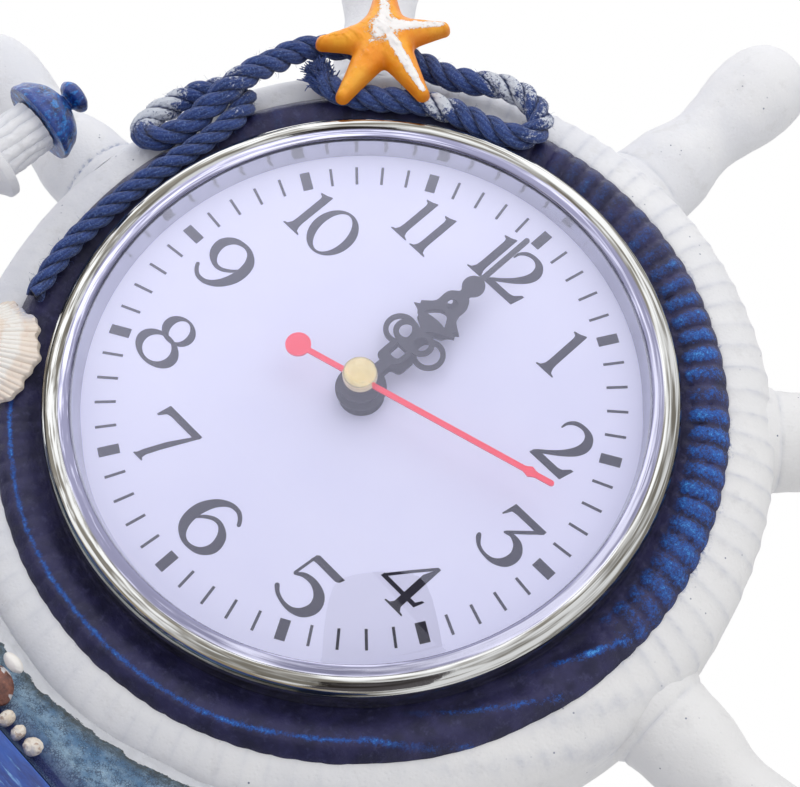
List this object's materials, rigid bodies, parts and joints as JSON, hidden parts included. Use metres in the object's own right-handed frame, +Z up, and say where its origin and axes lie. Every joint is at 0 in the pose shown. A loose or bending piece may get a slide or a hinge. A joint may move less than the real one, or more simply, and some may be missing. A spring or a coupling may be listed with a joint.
{
  "type": "mantel clock",
  "caption": "Ship's-wheel mantel clock in painted resin with a small lighthouse, rope, starfish and shell; three hands on a numbered dial, battery movement behind",
  "frame": {"origin": "on the flat underside of the base, straight below the dial's centre and midway through the wheel's thickness", "axes": "+Z up, -Y out of the dial towards the viewer, +X towards 3 o'clock"},
  "size_m": [0.235, 0.0765, 0.2255],
  "materials": {
    "white_paint": "matt white paint on cast resin, fine cast ribs, specks of navy at the edges",
    "navy_paint": "satin navy paint with brighter blue brushed over the ribs",
    "sea_paint": "blue-grey crackled paint with a fine sparkle",
    "ground_paint": "deep blue brushed paint on cast resin",
    "roof_paint": "blue pearl paint, darker in the hollows",
    "rope": "three-strand twisted navy cotton cord, dry-brushed with white",
    "starfish_paint": "orange paint with white brushed along the ridges",
    "shell": "natural cream and pink shell",
    "rock": "brown painted resin",
    "chrome": "polished chrome plating",
    "lens": "clear domed acrylic",
    "dial_print": "lavender-white printed dial with grey numerals, satin reflector wall",
    "black_plastic": "moulded black plastic, fine texture",
    "hand_black": "satin black painted sheet",
    "hand_red": "satin red painted sheet",
    "brass": "polished brass",
    "steel": "plain steel",
    "copper_wire": "enamelled copper winding",
    "nylon": "moulded white nylon",
    "board": "green circuit board",
    "battery_jacket": "plain printed battery sleeve"
  },
  "bodies": {
    "stand": {"wheel_rim": "white_paint", "wheel_handle_12": "white_paint", "wheel_handle_01": "white_paint", "wheel_handle_03": "white_paint", "wheel_handle_04": "white_paint", "wheel_handle_07": "white_paint", "wheel_handle_09": "white_paint", "wheel_handle_10": "white_paint", "lighthouse_tower": "white_paint", "lighthouse_lantern_room": "white_paint", "inner_ring": "navy_paint", "sea_wave": "sea_paint", "base_plinth": "ground_paint", "lighthouse_roof": "roof_paint", "rope_bow": "rope", "starfish": "starfish_paint", "scallop_shell": "shell", "small_shell": "shell", "pebble_1": "shell", "pebble_2": "shell", "pebble_3": "shell", "pebble_4": "shell", "pebble_5": "shell", "brown_rock": "rock", "bezel": "chrome", "lens": "lens", "dial_plate": "dial_print", "reflector_ring": "dial_print", "insert_cup": "black_plastic", "movement_case": "black_plastic", "movement_cover": "black_plastic", "stator": "steel", "quartz_crystal": "steel", "contact_positive": "steel", "contact_spring": "steel", "coil": "copper_wire", "circuit_board": "board", "battery": "battery_jacket"},
    "seconds": {"seconds_wheel": "nylon", "second_hand": "hand_red", "second_hand_cap": "brass"},
    "minutes": {"minute_tube": "nylon", "minute_hand": "hand_black"},
    "hours": {"hour_wheel": "nylon", "hour_hand": "hand_black"},
    "third": {"third_wheel": "nylon"},
    "centre": {"centre_wheel": "nylon"},
    "intermediate": {"intermediate_wheel": "nylon"},
    "motor_rotor": {"rotor": "steel"},
    "motion": {"motion_wheel": "nylon"},
    "setting": {"setting_knob": "nylon"}
  },
  "joints": [
    {"name": "second_hand_turn", "type": "hinge", "parent": "stand", "child": "seconds", "pos_m": [0, -0.01645, 0.10801], "axis": [0, 1, 0], "continuous": true},
    {"name": "intermediate_wheel_turn", "type": "hinge", "parent": "stand", "child": "intermediate", "pos_m": [0.00536, -0.01645, 0.11251], "axis": [0, 1, 0], "continuous": true},
    {"name": "rotor_turn", "type": "hinge", "parent": "stand", "child": "motor_rotor", "pos_m": [0.00782, -0.01645, 0.11928], "axis": [0, 1, 0], "continuous": true},
    {"name": "third_wheel_turn", "type": "hinge", "parent": "stand", "child": "third", "pos_m": [-0.0072, -0.01645, 0.10801], "axis": [0, 1, 0], "continuous": true},
    {"name": "centre_wheel_turn", "type": "hinge", "parent": "stand", "child": "centre", "pos_m": [0, -0.01645, 0.10801], "axis": [0, 1, 0], "continuous": true},
    {"name": "minute_hand_turn", "type": "hinge", "parent": "stand", "child": "minutes", "pos_m": [0, -0.01645, 0.10801], "axis": [0, 1, 0], "continuous": true},
    {"name": "motion_wheel_turn", "type": "hinge", "parent": "stand", "child": "motion", "pos_m": [-0.0036, -0.01645, 0.11425], "axis": [0, 1, 0], "continuous": true},
    {"name": "hour_hand_turn", "type": "hinge", "parent": "stand", "child": "hours", "pos_m": [0, -0.01645, 0.10801], "axis": [0, 1, 0], "continuous": true},
    {"name": "setting_knob_turn", "type": "hinge", "parent": "stand", "child": "setting", "pos_m": [-0.0072, -0.01645, 0.12049], "axis": [0, 1, 0], "continuous": true}
  ],
  "couplings": [
    {"joint": "intermediate_wheel_turn", "follows": "second_hand_turn", "ratio": -6},
    {"joint": "rotor_turn", "follows": "second_hand_turn", "ratio": 30},
    {"joint": "third_wheel_turn", "follows": "second_hand_turn", "ratio": -0.13333},
    {"joint": "centre_wheel_turn", "follows": "second_hand_turn", "ratio": 0.016667},
    {"joint": "motion_wheel_turn", "follows": "minute_hand_turn", "ratio": -0.33333},
    {"joint": "hour_hand_turn", "follows": "minute_hand_turn", "ratio": 0.083333},
    {"joint": "setting_knob_turn", "follows": "minute_hand_turn", "ratio": 1}
  ]
}
